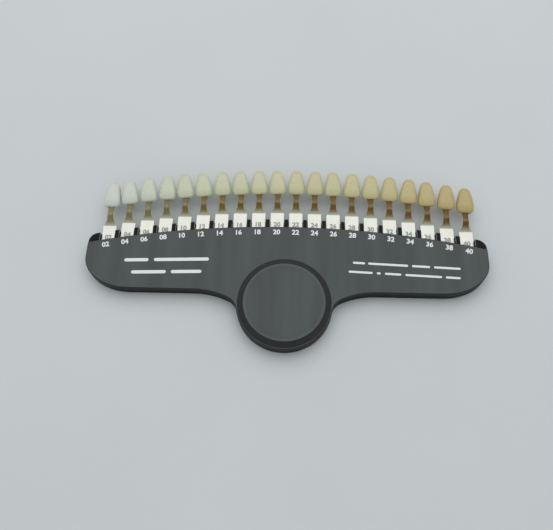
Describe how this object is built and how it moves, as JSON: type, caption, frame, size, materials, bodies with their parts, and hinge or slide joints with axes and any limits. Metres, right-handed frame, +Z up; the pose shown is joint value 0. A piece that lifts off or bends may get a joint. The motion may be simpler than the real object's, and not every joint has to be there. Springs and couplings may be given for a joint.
{
  "type": "dental shade guide",
  "caption": "Flat grey holder with a round thumb boss and an arched row of pull-out tooth-shaped shade tabs, from cool white to yellow-tan, for matching tooth colour.",
  "frame": {"origin": "middle of the overall footprint, on the face the guide rests on", "axes": "+X along the row of tabs, +Y from the boss towards the teeth, +Z up out of the printed face"},
  "size_m": [0.1952, 0.0948, 0.0101],
  "materials": {
    "cover_plastic": "satin",
    "shell_plastic": "gloss",
    "shank_steel": "polished",
    "shade_02": "gloss",
    "shade_04": "gloss",
    "shade_06": "gloss",
    "shade_08": "gloss",
    "shade_10": "gloss",
    "shade_12": "gloss",
    "shade_14": "gloss",
    "shade_16": "gloss",
    "shade_18": "gloss",
    "shade_20": "gloss",
    "shade_22": "gloss",
    "shade_24": "gloss",
    "shade_26": "gloss",
    "shade_28": "gloss",
    "shade_30": "gloss",
    "shade_32": "gloss",
    "shade_34": "gloss",
    "shade_36": "gloss",
    "shade_38": "gloss",
    "shade_40": "gloss"
  },
  "bodies": {
    "holder": {"back_shell": "shell_plastic", "front_cover": "cover_plastic"},
    "tab_02": {"shank_02": "shank_steel", "tooth_02": "shade_02"},
    "tab_04": {"shank_04": "shank_steel", "tooth_04": "shade_04"},
    "tab_06": {"shank_06": "shank_steel", "tooth_06": "shade_06"},
    "tab_08": {"shank_08": "shank_steel", "tooth_08": "shade_08"},
    "tab_10": {"shank_10": "shank_steel", "tooth_10": "shade_10"},
    "tab_12": {"shank_12": "shank_steel", "tooth_12": "shade_12"},
    "tab_14": {"shank_14": "shank_steel", "tooth_14": "shade_14"},
    "tab_16": {"shank_16": "shank_steel", "tooth_16": "shade_16"},
    "tab_18": {"shank_18": "shank_steel", "tooth_18": "shade_18"},
    "tab_20": {"shank_20": "shank_steel", "tooth_20": "shade_20"},
    "tab_22": {"shank_22": "shank_steel", "tooth_22": "shade_22"},
    "tab_24": {"shank_24": "shank_steel", "tooth_24": "shade_24"},
    "tab_26": {"shank_26": "shank_steel", "tooth_26": "shade_26"},
    "tab_28": {"shank_28": "shank_steel", "tooth_28": "shade_28"},
    "tab_30": {"shank_30": "shank_steel", "tooth_30": "shade_30"},
    "tab_32": {"shank_32": "shank_steel", "tooth_32": "shade_32"},
    "tab_34": {"shank_34": "shank_steel", "tooth_34": "shade_34"},
    "tab_36": {"shank_36": "shank_steel", "tooth_36": "shade_36"},
    "tab_38": {"shank_38": "shank_steel", "tooth_38": "shade_38"},
    "tab_40": {"shank_40": "shank_steel", "tooth_40": "shade_40"}
  },
  "joints": [
    {"name": "pull_02", "type": "slide", "parent": "holder", "child": "tab_02", "axis": [0, 1, 0], "range_m": [0, 0.02]},
    {"name": "pull_04", "type": "slide", "parent": "holder", "child": "tab_04", "axis": [0, 1, 0], "range_m": [0, 0.02]},
    {"name": "pull_06", "type": "slide", "parent": "holder", "child": "tab_06", "axis": [0, 1, 0], "range_m": [0, 0.02]},
    {"name": "pull_08", "type": "slide", "parent": "holder", "child": "tab_08", "axis": [0, 1, 0], "range_m": [0, 0.02]},
    {"name": "pull_10", "type": "slide", "parent": "holder", "child": "tab_10", "axis": [0, 1, 0], "range_m": [0, 0.02]},
    {"name": "pull_12", "type": "slide", "parent": "holder", "child": "tab_12", "axis": [0, 1, 0], "range_m": [0, 0.02]},
    {"name": "pull_14", "type": "slide", "parent": "holder", "child": "tab_14", "axis": [0, 1, 0], "range_m": [0, 0.02]},
    {"name": "pull_16", "type": "slide", "parent": "holder", "child": "tab_16", "axis": [0, 1, 0], "range_m": [0, 0.02]},
    {"name": "pull_18", "type": "slide", "parent": "holder", "child": "tab_18", "axis": [0, 1, 0], "range_m": [0, 0.02]},
    {"name": "pull_20", "type": "slide", "parent": "holder", "child": "tab_20", "axis": [0, 1, 0], "range_m": [0, 0.02]},
    {"name": "pull_22", "type": "slide", "parent": "holder", "child": "tab_22", "axis": [0, 1, 0], "range_m": [0, 0.02]},
    {"name": "pull_24", "type": "slide", "parent": "holder", "child": "tab_24", "axis": [0, 1, 0], "range_m": [0, 0.02]},
    {"name": "pull_26", "type": "slide", "parent": "holder", "child": "tab_26", "axis": [0, 1, 0], "range_m": [0, 0.02]},
    {"name": "pull_28", "type": "slide", "parent": "holder", "child": "tab_28", "axis": [0, 1, 0], "range_m": [0, 0.02]},
    {"name": "pull_30", "type": "slide", "parent": "holder", "child": "tab_30", "axis": [0, 1, 0], "range_m": [0, 0.02]},
    {"name": "pull_32", "type": "slide", "parent": "holder", "child": "tab_32", "axis": [0, 1, 0], "range_m": [0, 0.02]},
    {"name": "pull_34", "type": "slide", "parent": "holder", "child": "tab_34", "axis": [0, 1, 0], "range_m": [0, 0.02]},
    {"name": "pull_36", "type": "slide", "parent": "holder", "child": "tab_36", "axis": [0, 1, 0], "range_m": [0, 0.02]},
    {"name": "pull_38", "type": "slide", "parent": "holder", "child": "tab_38", "axis": [0, 1, 0], "range_m": [0, 0.02]},
    {"name": "pull_40", "type": "slide", "parent": "holder", "child": "tab_40", "axis": [0, 1, 0], "range_m": [0, 0.02]}
  ]
}
